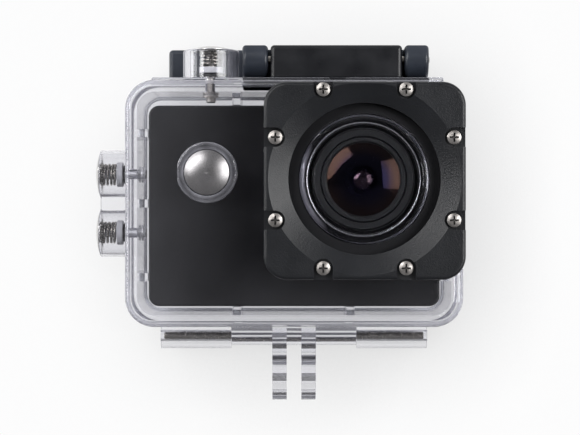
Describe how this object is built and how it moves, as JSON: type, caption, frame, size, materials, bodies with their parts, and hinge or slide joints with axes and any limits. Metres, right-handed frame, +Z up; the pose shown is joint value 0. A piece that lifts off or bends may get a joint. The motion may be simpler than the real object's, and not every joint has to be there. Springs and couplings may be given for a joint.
{
  "type": "action camera in dive housing",
  "caption": "Small action camera in a clear dive housing with a black lens port cover, spring push buttons, top latch, hinged back door and mount fingers.",
  "frame": {"origin": "centre of the pin hole through the two mount fingers, midway between the fingers", "axes": "+Z up, the lens looks along -Y, +X to the right as seen from the front and along the finger pin hole"},
  "size_m": [0.0767, 0.0474, 0.0755],
  "materials": {
    "clear_polycarbonate": "clear, polished, fine moulding marks",
    "clear_door": "clear, polished",
    "port_cover_plastic": "black, fine sandblasted grain",
    "port_window": "clear flat window",
    "black_rubber": "matte black",
    "grey_silicone": "light grey silicone",
    "white_seal": "pale silicone cord",
    "stainless": "stainless, lightly brushed",
    "spring_steel": "bright spring wire",
    "polished_dome": "polished metal dome",
    "latch_plastic": "slate black, satin",
    "latch_base_plastic": "black, satin",
    "camera_plastic": "black, soft sheen",
    "camera_face": "black front plate, soft sheen",
    "key_plastic": "black keys",
    "anodised_black": "black anodised, turned",
    "lens_glass": "coated lens glass",
    "circuit_board": "green solder mask",
    "silicon": "dark sensor cover",
    "battery_wrap": "dark wrap",
    "display_black": "black display",
    "display_glass": "tinted window",
    "speaker_metal": "pressed metal",
    "card_plastic": "black card",
    "socket_metal": "plated shell"
  },
  "bodies": {
    "housing": {"front_shell": "clear_polycarbonate", "hinge_pin": "stainless", "lens_port_cover": "port_cover_plastic", "lens_port_screws": "stainless", "lens_port_glass": "port_window", "lens_port_gasket": "black_rubber", "latch_base": "latch_base_plastic", "latch_arm_pin": "stainless", "camera_front_case": "camera_plastic", "camera_rear_case": "camera_plastic", "camera_front_plate": "camera_face", "camera_case_screws": "stainless", "lens_bezel": "anodised_black", "lens_barrel": "anodised_black", "lens_front_element": "lens_glass", "lens_inner_element": "lens_glass", "lens_rear_element": "lens_glass", "image_sensor": "silicon", "sensor_board": "circuit_board", "main_board": "circuit_board", "battery": "battery_wrap", "battery_door": "camera_plastic", "display_panel": "display_black", "display_window": "display_glass", "speaker": "speaker_metal", "memory_card": "card_plastic", "usb_socket": "socket_metal", "shutter_button_collar": "grey_silicone", "shutter_button_seal": "black_rubber", "power_button_collar": "grey_silicone", "power_button_seal": "black_rubber", "up_button_collar": "grey_silicone", "up_button_seal": "black_rubber", "down_button_collar": "grey_silicone", "down_button_seal": "black_rubber"},
    "back_door": {"rear_door": "clear_door", "door_seal": "white_seal"},
    "latch_lever": {"latch_arm": "latch_plastic", "latch_buckle_pin": "stainless"},
    "buckle": {"latch_buckle": "latch_plastic"},
    "shutter_button": {"shutter_button_cap": "polished_dome", "shutter_button_stem": "stainless", "shutter_button_clip": "stainless", "shutter_button_spring": "spring_steel"},
    "camera_shutter_key_body": {"camera_shutter_key": "key_plastic"},
    "power_button": {"power_button_cap": "polished_dome", "power_button_stem": "stainless", "power_button_clip": "stainless", "power_button_spring": "spring_steel"},
    "camera_power_key_body": {"camera_power_key": "key_plastic"},
    "up_button": {"up_button_cap": "polished_dome", "up_button_stem": "stainless", "up_button_clip": "stainless", "up_button_spring": "spring_steel"},
    "camera_up_key_body": {"camera_up_key": "key_plastic"},
    "down_button": {"down_button_cap": "polished_dome", "down_button_stem": "stainless", "down_button_clip": "stainless", "down_button_spring": "spring_steel"},
    "camera_down_key_body": {"camera_down_key": "key_plastic"}
  },
  "joints": [
    {"name": "door_hinge", "type": "hinge", "parent": "housing", "child": "back_door", "pos_m": [0, 0.0145, 0.0053], "axis": [-1, 0, 0], "range_deg": [0, 115]},
    {"name": "latch_lever_hinge", "type": "hinge", "parent": "housing", "child": "latch_lever", "pos_m": [0, -0.001, 0.0646], "axis": [1, 0, 0], "range_deg": [0, 100]},
    {"name": "buckle_hinge", "type": "hinge", "parent": "latch_lever", "child": "buckle", "pos_m": [0, 0.0105, 0.064], "axis": [1, 0, 0], "range_deg": [0, 60]},
    {"name": "shutter_button_press", "type": "slide", "parent": "housing", "child": "shutter_button", "axis": [0, 0, -1], "range_m": [0, 0.0015], "stiffness_N_per_m": 500, "springref_m": -0.001, "deforming": ["shutter_button_spring"]},
    {"name": "camera_shutter_key_press", "type": "slide", "parent": "housing", "child": "camera_shutter_key_body", "axis": [0, 0, -1], "range_m": [0, 0.00045]},
    {"name": "power_button_press", "type": "slide", "parent": "housing", "child": "power_button", "axis": [0, 1, 0], "range_m": [0, 0.0015], "stiffness_N_per_m": 500, "springref_m": -0.001, "deforming": ["power_button_spring"]},
    {"name": "camera_power_key_press", "type": "slide", "parent": "housing", "child": "camera_power_key_body", "axis": [0, 1, 0], "range_m": [0, 0.00045]},
    {"name": "up_button_press", "type": "slide", "parent": "housing", "child": "up_button", "axis": [1, 0, 0], "range_m": [0, 0.0015], "stiffness_N_per_m": 500, "springref_m": -0.001, "deforming": ["up_button_spring"]},
    {"name": "camera_up_key_press", "type": "slide", "parent": "housing", "child": "camera_up_key_body", "axis": [1, 0, 0], "range_m": [0, 0.00045]},
    {"name": "down_button_press", "type": "slide", "parent": "housing", "child": "down_button", "axis": [1, 0, 0], "range_m": [0, 0.0015], "stiffness_N_per_m": 500, "springref_m": -0.001, "deforming": ["down_button_spring"]},
    {"name": "camera_down_key_press", "type": "slide", "parent": "housing", "child": "camera_down_key_body", "axis": [1, 0, 0], "range_m": [0, 0.00045]}
  ],
  "couplings": [
    {"joint": "camera_shutter_key_press", "follows": "shutter_button_press", "ratio": 0.3},
    {"joint": "camera_power_key_press", "follows": "power_button_press", "ratio": 0.3},
    {"joint": "camera_up_key_press", "follows": "up_button_press", "ratio": 0.3},
    {"joint": "camera_down_key_press", "follows": "down_button_press", "ratio": 0.3}
  ]
}
